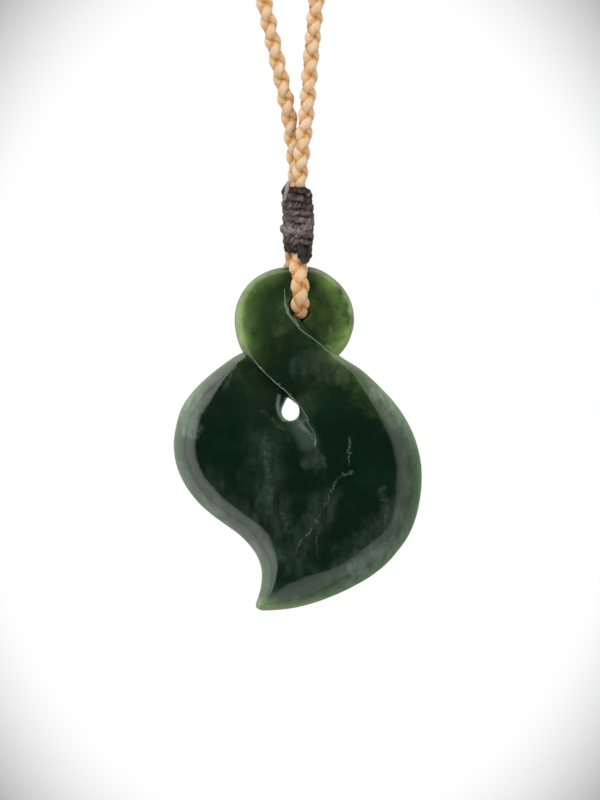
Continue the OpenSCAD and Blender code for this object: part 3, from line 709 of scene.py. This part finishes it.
# The stone's own green, browner in patches of the head, and lighter where light comes through it.
murk = nodes.number("ADD", depth, nodes.number("MULTIPLY_ADD", cloud, 2.4, -1.2))
share = nodes.number("DIVIDE", murk, DEPTH_FULL)
head = nodes.ranged(height, -0.358, -0.345, curve="SMOOTHSTEP")
tip = nodes.ranged(height, -0.3805, -0.3835, curve="SMOOTHSTEP")
clear = nodes.number("MAXIMUM", head, tip)
unlit = nodes.mixed(clear, nodes.ramp(share, BLADE_GREEN), nodes.ramp(share, HEAD_GREEN))
rust = nodes.number("MULTIPLY", nodes.ranged(drift, 0.50, 0.62, 0.0, 0.35), head)
uneven = nodes.ranged(cloud, 0.34, 0.66, 0.25, 1.6)
lit = nodes.number("MULTIPLY", nodes.number("ADD", edge_light, glow), uneven, use_clamp=True)
body = nodes.mixed(lit, nodes.mixed(rust, unlit, BROWN), LIT_GREEN)
# Its marks: wisps broken into flecks, haze and mottling combed into upright fibres, and painted highlights.
specks = nodes.ranged(nodes.noise(place, 1500.0, 5.0, 0.75), 0.40, 0.66)
broken = nodes.ranged(nodes.noise(place, 620.0, 3.0, 0.6), 0.38, 0.60, 0.25, 1.0)
fleck = nodes.number("MULTIPLY", nodes.number("MULTIPLY", wisp, specks), broken)
combed = nodes.vector("MULTIPLY", place, (1.0, 1.0, 0.28))
fibre = nodes.ranged(nodes.noise(combed, 900.0, 4.0, 0.65), 0.32, 0.68, 0.15, 1.6)
misty = nodes.number("MULTIPLY_ADD", haze, fibre, fleck)
veined = nodes.number("MULTIPLY", nodes.ranged(drift, 0.44, 0.64, 0.0, 0.26), fibre)
mottled = nodes.number("MULTIPLY_ADD", nodes.ranged(depth, 5.9, 2.5), veined, misty)
# Painted highlights: pale along the highlight lines, and where the surface bends sharply out over an edge.
edge_highlight = nodes.number("MAXIMUM", rim_highlight, nodes.ranged(bend_here, 0.5, 1.8, 0.0, 0.9))
shown = nodes.mixed(nodes.number("MAXIMUM", mottled, edge_highlight), body, MILKY_AND_HIGHLIGHT)
# Its polish by hand: slight waves, finer scratches, and dull creases where the wheel can't reach.
dull = nodes.number("MAXIMUM", nodes.ranged(cloud, 0.3, 0.7, 0.07, 0.20),
                    nodes.ranged(bend_here, -0.25, -1.0, 0.0, 0.6))
waves = nodes.add("ShaderNodeBump", {"Height": nodes.noise(place, 230.0, 2.0), "Strength": 0.7,
                                     "Distance": 0.00026})
scratches = nodes.add("ShaderNodeBump", {"Height": nodes.noise(place, 5200.0, 2.0), "Strength": 0.3,
                                         "Distance": 0.000004, "Normal": waves.outputs[0]})
finish = nodes.add("ShaderNodeBsdfPrincipled", {"Base Color": shown, "Roughness": dull, "IOR": 1.62,
                                                "Normal": scratches.outputs[0]})
nodes.add("ShaderNodeOutputMaterial", {"Surface": finish.outputs[0]})
stone.data.materials.clear()
stone.data.materials.append(nephrite)
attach(stone, "pendant")
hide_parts("greenstone")

# The neck cord: a round plait of four waxed strands, two turning each way, that cross over and
# under at the front, back and sides. It is one cord, doubled through the stone and up to the nape.
# First x and height of its plain way: the round nape, the same on both sides, and then each side.
NAPE_CURVE = [(0.3, 2.1), (4.2, 1.9), (8.3, 1.4), (16.4, -0.8), (24.0, -4.3), (30.9, -9.1), (36.8, -15.0),
              (41.6, -21.9), (45.1, -29.5)]
LEFT_SIDE = [(-47.2, -38.0), (-47.9, -47.0), (-47.0, -60.0), (-43.9, -80.0), (-36.3, -125), (-26.6, -180),
             (-15.5, -240), (-8.6, -275)]
RIGHT_SIDE = [(47.1, -38.0), (47.4, -47.0), (45.8, -60.0), (41.6, -80.0), (31.2, -125), (19.6, -180),
              (9.3, -240), (4.6, -275)]
# Then x, y, height, and how much of its plain size the plait keeps where the binding grips it.
LEFT_LOW = [
    (-5.0, 0.1, -293, 1.0), (-3.1, 0.3, -301.5, 1.0), (-1.3, 0.9, -310, 1.0), (-0.6, 1.1, -315, 1.0),
    (-0.3, 1.1, -319, 0.95), (-0.2, 1.0, -321.5, 0.86), (-0.2, 1.0, -326, 0.86), (-0.6, 1.1, -329.2, 0.88),
    (-1.0, 2.2, -331.9, 1.0), (-0.6, 3.2, -333.7, 1.0), (0.2, 3.5, -335.3, 1.0), (0.3, 3.1, -337.2, 1.0),
    (0.3, 1.8, -338.7, 1.0),
]
RIGHT_LOW = [
    (2.7, -0.1, -293, 1.0), (1.9, -0.3, -301.5, 1.0), (1.2, -0.9, -310, 1.0), (0.6, -1.1, -315, 1.0),
    (0.3, -1.1, -319, 0.95), (0.2, -1.0, -321.5, 0.86), (0.2, -1.0, -326, 0.86), (0.1, -1.1, -329.2, 0.88),
    (0.0, -2.2, -331.9, 1.0), (0.2, -3.2, -333.7, 1.0), (0.3, -3.5, -335.3, 1.0), (0.3, -3.1, -337.2, 1.0),
    (0.3, -1.8, -338.7, 1.0),
]
LEFT_LEG = [(x, 0.0, z, 1.0) for x, z in [*((-x, z) for x, z in NAPE_CURVE), *LEFT_SIDE]] + LEFT_LOW
RIGHT_LEG = [(x, 0.0, z, 1.0) for x, z in [*NAPE_CURVE, *RIGHT_SIDE]] + RIGHT_LOW
BIGHT = (0.3, 0.0, -339.1, 1.0)
# The plait goes round once in LAY of its length, and shows a crossing at each knuckle's height. It is
# spread wider where the loop grips the stone, and coloured darker and browner from just above the stone down.
LAY = 5.7
LEFT_KNUCKLE, RIGHT_KNUCKLE = -301.43, -300.77
STRAND_WIDE, STRAND_THICK, STRAND_MIDDLE, STRAND_WEAVE = 0.72, 0.48, 0.55, 0.25
PLAIT_STEP, HOLLOW_R, STRAND_SIDES, STRAND_ROUGH, STRAND_TWIST = 0.28, 0.95, 12, 0.15, 0.9
LOOP_SPREAD, LOOP_TOP, LOOP_FULL = 1.2, -330.5, -332.5
DARKER_BELOW_Z, DARKER_BELOW_FADE, DARKER_BELOW = -330.0, 2.0, 0.22
# The hollows between the crossings are painted a deeper orange as painted shade, and the crossings pale as
# painted light.
HOLLOW_FROM, HOLLOW_FADE = 0.2, 0.5


def even_route(rows, step):
    """A smooth curve through rows of numbers, at even steps of the way that its first three go."""
    rows = np.array(rows, float)
    gap = np.linalg.norm(np.diff(rows[:, :3], axis=0), axis=1)
    slope = np.diff(rows, axis=0) / gap[:, None]
    inner = (slope[:-1] * gap[1:, None] + slope[1:] * gap[:-1, None]) / (gap[1:] + gap[:-1])[:, None]
    slope = np.concatenate([slope[:1], inner, slope[-1:]])
    fine = []
    for i, length in enumerate(gap):
        t = np.linspace(0, 1, max(4, int(length / step * 2)), endpoint=False)[:, None]
        fine.append((2 * t**3 - 3 * t**2 + 1) * rows[i] + (3 * t**2 - 2 * t**3) * rows[i + 1]
                    + length * ((t**3 - 2 * t**2 + t) * slope[i] + (t**3 - t**2) * slope[i + 1]))
    fine = np.concatenate([*fine, rows[-1:]])
    way = np.concatenate([[0], np.cumsum(np.linalg.norm(np.diff(fine[:, :3], axis=0), axis=1))])
    even = np.linspace(0, way[-1], int(way[-1] / step) + 1)
    return even, np.column_stack([np.interp(even, way, fine[:, k]) for k in range(rows.shape[1])])


def unit(v):
    """Vectors that point the same ways and are 1 long."""
    return v / np.linalg.norm(v, axis=-1, keepdims=True)


def carried(points, first):
    """Headings of a path, and a direction square to it that turns as little as it can on the way."""
    heading = unit(np.gradient(points, axis=0))
    side = np.empty_like(heading)
    now = np.array(first, float)
    for i, along in enumerate(heading):
        now = now - (now @ along) * along
        now = now / np.linalg.norm(now)
        side[i] = now
    return heading, side


def tube(path, out, wide, thick, sides, twist=0.0, rough=0.0):
    """A flattened tube on a path. Its thickness lies along `out`, and `rough` is how far its fibres
    stand off, as a share of its size. Gives points, faces and, for each point, its place on the same
    thread if that were straight, with `twist` in radians a millimetre."""
    heading = unit(np.gradient(path, axis=0))
    out = unit(out - np.sum(out * heading, axis=1, keepdims=True) * heading)
    side = np.cross(heading, out)
    way = np.concatenate([[0], np.cumsum(np.linalg.norm(np.diff(path, axis=0), axis=1))])
    turn = np.arange(sides) * math.tau / sides
    across, up = np.sin(turn)[None, :, None], np.cos(turn)[None, :, None]
    wide, thick = (np.broadcast_to(size, len(path))[:, None, None] for size in (wide, thick))
    roll = turn[None, :] + way[:, None] * twist
    grain = np.random.default_rng(len(path)).normal(size=roll.shape)
    for axis, times in ((0, 2), (1, 1)):
        for _ in range(times):
            grain = (np.roll(grain, 1, axis) + 2 * grain + np.roll(grain, -1, axis)) / 4
    swell = (1 + rough * grain)[:, :, None]
    points = path[:, None] + swell * (wide * across * side[:, None] + thick * up * out[:, None])
    straight = np.stack([np.cos(roll), np.sin(roll), np.broadcast_to(way[:, None], roll.shape)], axis=-1)
    return *loft(list(points)), straight.reshape(-1, 3)


way, route = even_route([*LEFT_LEG, BIGHT, *RIGHT_LEG[::-1]], PLAIT_STEP)
middle, keep = route[:, :3], route[:, 3]
heading, front_way = carried(middle, (0, -1, 0))
side_way = np.cross(front_way, heading)
spread = 1 + (LOOP_SPREAD - 1) * np.clip((LOOP_TOP - middle[:, 2]) / (LOOP_TOP - LOOP_FULL), 0, 1)
bight_at = int(np.argmin(np.linalg.norm(middle - BIGHT[:3], axis=1)))
turned = np.empty(len(way))
for leg, knuckle in ((slice(0, bight_at), LEFT_KNUCKLE), (slice(bight_at, len(way)), RIGHT_KNUCKLE)):
    from_bight = way[leg] - way[bight_at]
    mark = abs(from_bight[np.argmin(np.abs(middle[leg, 2] - knuckle))])
    turned[leg] = from_bight * math.pi * round(2 * mark / LAY) / mark
legs = {"plait_left": (slice(0, bight_at + 1), []), "plait_right": (slice(bight_at, len(way)), [])}
for hand in (1, -1):
    for start in (0, math.pi):
        around = hand * turned + start
        ray = (spread * np.cos(around))[:, None] * side_way + np.sin(around)[:, None] * front_way
        from_axis = STRAND_MIDDLE - hand * STRAND_WEAVE * np.cos(2 * around)
        path = middle + (keep * from_axis)[:, None] * ray
        for leg, strands in legs.values():
            wide = STRAND_WIDE * (keep * spread)[leg]
            strands.append(tube(path[leg], ray[leg], wide, STRAND_THICK * keep[leg], STRAND_SIDES,
                                twist=STRAND_TWIST, rough=STRAND_ROUGH))

# How much of a thread's shade comes from its patches, how far its shades are spread, and how far
# apart two threads' fibres start.
PATCH_SHARE, CONTRAST, FIBRES_APART = 0.35, 1.5, np.array([7.3, 0.0, 31.0])


def fibre_group():
    """Fibres of a laid thread: a height for bump and a shade, from the thread's own straight place."""
    group = bpy.data.node_groups.new("laid_fibres", "ShaderNodeTree")
    for name, way_in in (("Length Share", "INPUT"), ("Fineness", "INPUT"), ("Height", "OUTPUT"),
                         ("Shade", "OUTPUT")):
        group.interface.new_socket(name, in_out=way_in, socket_type="NodeSocketFloat")
    nodes = Nodes(group)
    given = nodes.add("NodeGroupInput").outputs
    place = nodes.add("ShaderNodeAttribute", attribute_name="thread_place").outputs["Vector"]
    squash = nodes.add("ShaderNodeCombineXYZ", {0: 1.0, 1: 1.0, 2: given["Length Share"]}).outputs[0]
    fibres = nodes.noise(nodes.vector("MULTIPLY", place, squash), given["Fineness"], 4.0, 0.6)
    patches = nodes.noise(place, 0.9, 3.0)
    own = nodes.number("MULTIPLY", fibres, 1 - PATCH_SHARE)
    shade = nodes.number("MULTIPLY_ADD", patches, PATCH_SHARE, own)
    nodes.add("NodeGroupOutput", {"Height": fibres, "Shade": shade})
    return group


laid_fibres = fibre_group()


def thread_material(name, shades, length_share, fineness, bump, roughness, glow=0.0, shine=0.35):
    """Waxed thread: shades are (position, colour) from its darkest fibres to its palest. A value stored on
    each point also moves its colour along them: painted light and shade on the cord and the binding.
    """
    made, nodes = new_material(name)
    laid = {"Length Share": length_share, "Fineness": fineness}
    fibres = nodes.add("ShaderNodeGroup", laid, node_tree=laid_fibres).outputs
    base = nodes.number("MULTIPLY_ADD", nodes.attribute("light_and_tone"), 0.5, 0.25 - 0.5 * CONTRAST)
    tint = nodes.ramp(nodes.number("MULTIPLY_ADD", fibres["Shade"], CONTRAST, base), shades)
    relief = nodes.add("ShaderNodeBump", {"Height": fibres["Height"], "Strength": 0.6, "Distance": bump})
    finish = nodes.add("ShaderNodeBsdfPrincipled", {
        "Base Color": tint, "Roughness": roughness, "Normal": relief.outputs[0], "Subsurface Weight": glow,
        "Subsurface Radius": (1.0, 0.6, 0.3), "Subsurface Scale": 0.0004, "Specular IOR Level": shine})
    nodes.add("ShaderNodeOutputMaterial", {"Surface": finish.outputs[0]})
    return made


def thread_piece(name, tubes, light_and_tone, material, node):
    """One piece of thread or cord made of tubes. A function gives each point a value, 0 to 1, that pales
    its colour: on the cord and the binding how far out the point lies, as painted light and shade, and on
    the knot its reddish foot. Each tube's fibres start elsewhere, so no two tubes look alike."""
    points, faces = merged([(p, f) for p, f, _ in tubes])
    made = new_object(name, points * MM, faces)
    store(made.data, "light_and_tone", light_and_tone(points))
    straight = np.concatenate([place + i * FIBRES_APART for i, (_, _, place) in enumerate(tubes)])
    thread_place = made.data.attributes.new("thread_place", "FLOAT_VECTOR", "POINT")
    thread_place.data.foreach_set("vector", straight.astype(np.float32).ravel())
    made.data.materials.append(material)
    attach(made, "necklace")
    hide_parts(node)
    return made


def out_of_hollows(leg):
    """A function that gives 1 on a leg's crossings and falls to 0 in the hollows between them: painted light
    on the crossings and painted shade in the hollows. It is lower too from just above the stone down.
    """
    def light_and_tone(points):
        many = len(points) // (len(way[leg]) * STRAND_SIDES)

        def ringed(values):
            return np.concatenate([np.repeat(values[leg], STRAND_SIDES, axis=0)] * many)

        off_axis = (points - ringed(middle)) / ringed(keep)[:, None]
        across = np.sum(off_axis * ringed(side_way), axis=1) / HOLLOW_R
        ahead = np.sum(off_axis * ringed(front_way), axis=1) / HOLLOW_R
        phase = ringed(turned)
        deep_front = np.clip((np.cos(phase)**2 - HOLLOW_FROM) / HOLLOW_FADE, 0, 1)
        deep_side = np.clip((np.sin(phase)**2 - HOLLOW_FROM) / HOLLOW_FADE, 0, 1)
        darker_below = DARKER_BELOW * np.clip((DARKER_BELOW_Z - points[:, 2]) / DARKER_BELOW_FADE, 0, 1)
        return 1 - deep_front * np.exp(-(across**2)) - deep_side * np.exp(-(ahead**2)) - darker_below
    return light_and_tone


# The cord's colours, from painted shade in its hollows to painted light on its crossings, with its fibres'
# own tone between.
TAN = [(0.12, (0.55, 0.230, 0.062)), (0.32, (0.62, 0.332, 0.122)), (0.54, (0.65, 0.455, 0.280)),
       (0.76, (0.66, 0.525, 0.400))]
waxed_tan = thread_material("waxed_tan_cord", TAN, 0.16, 9.0, 0.0006, 0.75, glow=0.7, shine=0.25)
for name, node in (("plait_left", "neck_cord_left"), ("plait_right", "neck_cord_right")):
    leg, strands = legs[name]
    thread_piece(name, strands, out_of_hollows(leg), waxed_tan, node)

# The binding: waxed brown thread wound round both legs above the stone, not quite evenly, with one
# slanting turn over the others and the thread's flattened start left standing at the upper left.
BROWNS = [(0.18, (0.004, 0.002, 0.002)), (0.36, (0.023, 0.011, 0.008)), (0.56, (0.076, 0.048, 0.040)),
          (0.92, (0.330, 0.280, 0.275))]
WIND_TOP, WIND_PITCH, WIND_TURNS, WIND_POINTS = -320.9, 1.06, 8.5, 150
WIND_END, WIND_MID, WIND_FLANK, FLANK_STEEP = 1.68, 1.97, 1.0, 6
THREAD_WIDE, THREAD_THICK, THREAD_SIDES, THREAD_TWIST, THREAD_ROUGH = 0.66, 0.41, 22, 2.6, 0.42
OVER_FROM, OVER_TO, OVER_POINTS, OVER_HALF, OVER_LEFT = -0.35, 1.75, 360, 2.14, 0.12
OVER_TOP, OVER_PITCH, OVER_WIDE, OVER_THICK = -326.7, 0.95, 0.50, 0.34
TAIL_STEPS, TAIL_OUT, TAIL_WIDE, TAIL_THICK = 28, (-0.35, -0.9, 0.0), 0.58, 0.14
TAIL_FOOT, TAIL_RUN, TAIL_BULGE = (-2.10, -2.05, -322.6), (0.72, -0.10, 3.05), (0.0, -0.55, 0.0)
# Where the turns start to stand out from the gaps, which are painted in shade, over how much, and the
# flattened start's paleness along its middle and how much of it goes in each millimetre beside that.
GAP_R, STAND_OUT, TAIL_PALE, TAIL_FALL = 1.9, 0.6, 1.6, 2.6


def wander(t, size, seed):
    """A smooth, uneven wander that stays the same from run to run."""
    return size * (np.sin(2.1 * t + seed) + 0.7 * np.sin(4.7 * t + 1.7 * seed)
                   + 0.5 * np.sin(9.2 * t + 2.9 * seed) + 0.35 * np.sin(17.3 * t + 4.1 * seed)) / 2


def round_legs(angle, half, height, left=0.0, front=0.0):
    """A path round both legs, from its angles, half its width and its heights, and the ways out."""
    flank = np.clip(np.sin(angle) * FLANK_STEEP, -1, 1) * WIND_FLANK
    path = np.column_stack([-half * np.cos(angle) - left, -half * np.sin(angle) - flank - front, height])
    return path, np.column_stack([-np.cos(angle), -np.sin(angle), 0 * angle])


turns = np.arange(int(WIND_TURNS * WIND_POINTS) + 1) / WIND_POINTS
half = (WIND_END + (WIND_MID - WIND_END) * np.sin(math.pi * turns / WIND_TURNS)
        + wander(turns * 3.3, 0.11, 1.0))
height = WIND_TOP - WIND_PITCH * turns + wander(turns * 3.1, 0.20, 2.0)
path, outward = round_legs(turns * math.tau, half, height, front=wander(turns * 4.1, 0.05, 3.0))
wound = tube(path, outward, THREAD_WIDE + wander(turns * 2.7, 0.11, 4.0),
             THREAD_THICK + wander(turns * 3.7, 0.06, 5.0), THREAD_SIDES, twist=THREAD_TWIST,
             rough=THREAD_ROUGH)
turn = np.linspace(OVER_FROM, OVER_TO, OVER_POINTS)
half = OVER_HALF + 0.08 * np.cos(turn * math.pi) + wander(turn * 3.0, 0.05, 6.0)
height = OVER_TOP - OVER_PITCH * turn + wander(turn * 4.0, 0.12, 7.0)
path, outward = round_legs(turn * math.pi, half, height, left=OVER_LEFT)
over = tube(path, outward, OVER_WIDE + wander(turn * 5.0, 0.08, 8.0), OVER_THICK, THREAD_SIDES,
            twist=THREAD_TWIST, rough=THREAD_ROUGH)
rise = np.linspace(0, 1, TAIL_STEPS)
lens = np.sin(math.pi * rise) ** 0.8
tail_path = TAIL_FOOT + rise[:, None] * TAIL_RUN + lens[:, None] * TAIL_BULGE
tail = tube(tail_path, np.tile(TAIL_OUT, (TAIL_STEPS, 1)), 0.08 + TAIL_WIDE * lens, 0.06 + TAIL_THICK * lens,
            THREAD_SIDES, twist=THREAD_TWIST, rough=THREAD_ROUGH)


def standing_out(points):
    """Turns of thread are painted palest where they stand furthest out, as painted light, and dark in the
    gaps between them, as painted shade. The flattened start, whose points come last, is pale along its
    middle and dark at its edges."""
    out = np.hypot(points[:, 0], np.maximum(0, np.abs(points[:, 1]) - WIND_FLANK))
    off_tail = np.abs(points[:, 0] - np.interp(points[:, 2], tail_path[:, 2], tail_path[:, 0]))
    of_tail = np.arange(len(points)) >= len(points) - TAIL_STEPS * THREAD_SIDES
    return np.where(of_tail, TAIL_PALE - TAIL_FALL * off_tail, np.clip((out - GAP_R) / STAND_OUT, 0, 1))


brown_thread = thread_material("waxed_brown_thread", BROWNS, 0.25, 11.0, 0.0007, 0.65)
thread_piece("wound_binding", [wound, over, tail], standing_out, brown_thread, "binding")

# The knot that locks the binding: its waxed thread tied tight on itself over the front leg, led in
# from the binding by one short slanting stretch. It is nearly black, and reddish underneath.
BLACKS = [(0.20, (0.003, 0.003, 0.004)), (0.36, (0.011, 0.010, 0.012)), (0.60, (0.045, 0.018, 0.014)),
          (0.80, (0.105, 0.034, 0.020))]
KNOT_AT, KNOT_HALF, KNOT_R = np.array([1.0, -3.8, -330.95]), np.array([1.15, 0.75, 1.10]), 0.38
KNOT_FOOT, KNOT_FADE, KNOT_ROUGH, KNOT_POINTS, KNOT_WIDE = -331.1, 0.6, 0.22, 144, 0.48
KNOT_PRESSED = (1.0, 0.9, 1.0)
LEAD_IN = [(-0.20, -2.90, -328.8), (0.15, -3.30, -329.4), (0.50, -3.85, -330.0), (0.85, -4.20, -330.6),
           (1.10, -4.25, -331.2), (1.30, -3.80, -331.8)]
LEAD_STEP, LEAD_OUT, LEAD_TIP, LEAD_WIDE, LEAD_THICK = 0.08, (0.0, -1.0, 0.2), 0.06, 0.44, 0.34
t = np.linspace(0, math.tau, KNOT_POINTS + 1)[:-1]
loop = np.column_stack([np.sin(t) + 2 * np.sin(2 * t), -np.sin(3 * t), np.cos(t) - 2 * np.cos(2 * t)])
loop = np.concatenate([loop, loop[:1]]) / (3.0, 1.0, 3.0)
path = KNOT_AT + loop * (KNOT_HALF - KNOT_R) * KNOT_PRESSED
tied = tube(path, path - KNOT_AT + (1e-6, 0, 0), KNOT_WIDE, KNOT_R, THREAD_SIDES, twist=THREAD_TWIST,
            rough=KNOT_ROUGH)
path = even_route(LEAD_IN, LEAD_STEP)[1]
swell = np.sin(math.pi * np.linspace(0, 1, len(path))) ** 0.7
lead = tube(path, np.tile(LEAD_OUT, (len(path), 1)), LEAD_TIP + LEAD_WIDE * swell,
            LEAD_TIP + LEAD_THICK * swell, THREAD_SIDES, twist=THREAD_TWIST, rough=KNOT_ROUGH)


def underneath(points):
    """The knot turns reddish towards its foot."""
    return np.clip((KNOT_FOOT - points[:, 2]) / KNOT_FADE, 0, 1)


dark_knot = thread_material("waxed_dark_knot", BLACKS, 0.45, 9.0, 0.0005, 0.30, shine=0.4)
thread_piece("tied_knot", [tied, lead], underneath, dark_knot, "binding_knot")

# The nape join: the cord's two ends butt together behind the neck under a close winding of the same
# brown thread.
NAPE_R, NAPE_TOP, JOIN_HALF_ANGLE = 48.0, 2.1, math.radians(9.6)
JOIN_R, JOIN_TURNS, JOIN_POINTS = 1.72, 21, 32
JOIN_WIDE, JOIN_THICK, JOIN_SIDES, JOIN_TWIST, JOIN_SHADE = 0.42, 0.36, 10, 2.4, 0.4
turns = np.arange(JOIN_TURNS * JOIN_POINTS + 1) / JOIN_POINTS
arc = (turns / JOIN_TURNS * 2 - 1) * JOIN_HALF_ANGLE
angle = turns * math.tau
spoke = np.column_stack([np.sin(arc), 0 * arc, np.cos(arc)])
outward = np.cos(angle)[:, None] * spoke + np.sin(angle)[:, None] * (0, 1, 0)
path = spoke * NAPE_R + (0, 0, NAPE_TOP - NAPE_R) + outward * JOIN_R
served = tube(path, outward, JOIN_WIDE, JOIN_THICK, JOIN_SIDES, twist=JOIN_TWIST)
thread_piece("nape_winding", [served], lambda points: np.full(len(points), JOIN_SHADE), brown_thread,
             "nape_join")
